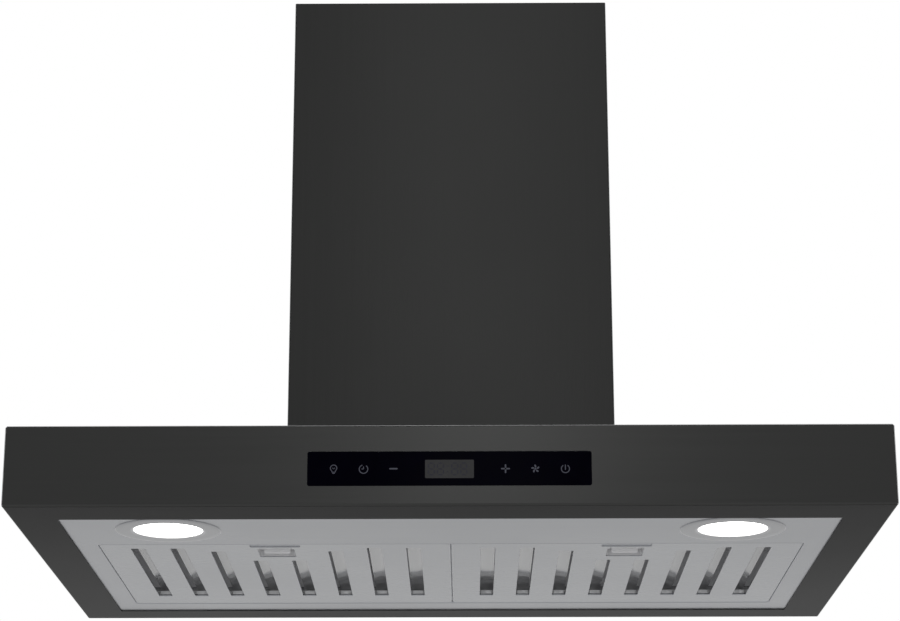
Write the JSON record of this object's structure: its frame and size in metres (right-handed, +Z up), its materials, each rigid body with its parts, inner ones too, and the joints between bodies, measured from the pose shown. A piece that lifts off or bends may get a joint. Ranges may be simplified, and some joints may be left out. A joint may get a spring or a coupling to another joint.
{
  "type": "chimney range hood",
  "caption": "Wall-mounted chimney range hood: low box canopy, telescoping chimney, slotted baffle filters with finger latches, round lamps, flush touch panel, blower with damper.",
  "frame": {"origin": "centre of the line through the two hanging holes, on the wall plane behind the hood", "axes": "+X to the right as seen from in front of the hood, +Y into the wall, +Z up"},
  "size_m": [0.75, 0.5, 0.56],
  "materials": {
    "black_steel": "fine-grained black satin",
    "stainless": "brushed",
    "galvanised": "spangled zinc",
    "zinc": "bright zinc",
    "cast_aluminium": "cast, matt",
    "core_steel": "ground",
    "copper": "enamelled copper",
    "spring_steel": "polished",
    "black_plastic": "fine texture",
    "flap_plastic": "fine texture",
    "white_plastic": "matt",
    "bezel_chrome": "satin",
    "lens": "frosted",
    "board": "solder mask",
    "black_glass": "polished black",
    "display": "smoked",
    "foam": "conductive foam",
    "lead": "satin sleeve"
  },
  "bodies": {
    "hood": {"canopy_shell": "black_steel", "rear_panel": "black_steel", "light_panel": "stainless", "panel_nuts": "zinc", "blower_box": "galvanised", "hanging_plate": "galvanised", "sheet_screws": "zinc", "scroll_housing": "galvanised", "scroll_side_plate": "galvanised", "motor_front_shell": "cast_aluminium", "motor_rear_shell": "cast_aluminium", "motor_stator": "core_steel", "motor_windings": "copper", "motor_bearings": "core_steel", "motor_tie_screws": "zinc", "motor_bracket": "galvanised", "motor_capacitor": "cast_aluminium", "outlet_collar": "black_plastic", "damper_rod": "core_steel", "lower_chimney": "black_steel", "light_left_bezel": "bezel_chrome", "light_left_lens": "lens", "light_left_led_board": "board", "light_left_housing": "cast_aluminium", "light_right_bezel": "bezel_chrome", "light_right_lens": "lens", "light_right_led_board": "board", "light_right_housing": "cast_aluminium", "light_spring_clips": "spring_steel", "control_glass": "black_glass", "control_carrier": "black_plastic", "control_board": "board", "control_screws": "zinc", "display_module": "display", "touch_pads": "foam", "electronics_box": "white_plastic", "electronics_cover": "white_plastic", "main_board": "board", "cable_gland": "black_plastic", "light_leads": "lead", "control_lead": "lead", "motor_lead": "lead"},
    "blower": {"blower_wheel": "galvanised", "motor_shaft": "core_steel", "motor_rotor": "core_steel"},
    "damper_left": {"damper_flap_left": "flap_plastic"},
    "damper_right": {"damper_flap_right": "flap_plastic"},
    "upper_chimney": {"upper_chimney": "black_steel", "chimney_wall_bracket": "galvanised", "bracket_screws": "zinc"},
    "filter_left": {"filter_left_pan": "stainless", "filter_left_baffles": "stainless", "filter_left_latch_cup": "stainless", "filter_left_latch_spring": "spring_steel"},
    "latch_left": {"filter_left_latch": "stainless"},
    "filter_right": {"filter_right_pan": "stainless", "filter_right_baffles": "stainless", "filter_right_latch_cup": "stainless", "filter_right_latch_spring": "spring_steel"},
    "latch_right": {"filter_right_latch": "stainless"}
  },
  "joints": [
    {"name": "chimney_slide", "type": "slide", "parent": "hood", "child": "upper_chimney", "axis": [0, 0, 1], "range_m": [0, 0.4]},
    {"name": "blower_spin", "type": "hinge", "parent": "hood", "child": "blower", "pos_m": [0, -0.105, -0.077], "axis": [1, 0, 0], "continuous": true},
    {"name": "damper_left_hinge", "type": "hinge", "parent": "hood", "child": "damper_left", "pos_m": [0, -0.16, 0.056], "axis": [0, 1, 0], "range_deg": [0, 80]},
    {"name": "damper_right_hinge", "type": "hinge", "parent": "hood", "child": "damper_right", "pos_m": [0, -0.16, 0.056], "axis": [0, -1, 0], "range_deg": [0, 80]},
    {"name": "filter_left_swing", "type": "hinge", "parent": "hood", "child": "filter_left", "pos_m": [-0.1579, -0.0737, -0.2595], "axis": [1, 0, 0], "range_deg": [0, 60]},
    {"name": "latch_left_slide", "type": "slide", "parent": "filter_left", "child": "latch_left", "axis": [0, 1, 0], "range_m": [0, 0.006], "stiffness_N_per_m": 300, "springref_m": -0.004, "deforming": ["filter_left_latch_spring"]},
    {"name": "filter_right_swing", "type": "hinge", "parent": "hood", "child": "filter_right", "pos_m": [0.1579, -0.0737, -0.2595], "axis": [1, 0, 0], "range_deg": [0, 60]},
    {"name": "latch_right_slide", "type": "slide", "parent": "filter_right", "child": "latch_right", "axis": [0, 1, 0], "range_m": [0, 0.006], "stiffness_N_per_m": 300, "springref_m": -0.004, "deforming": ["filter_right_latch_spring"]}
  ]
}
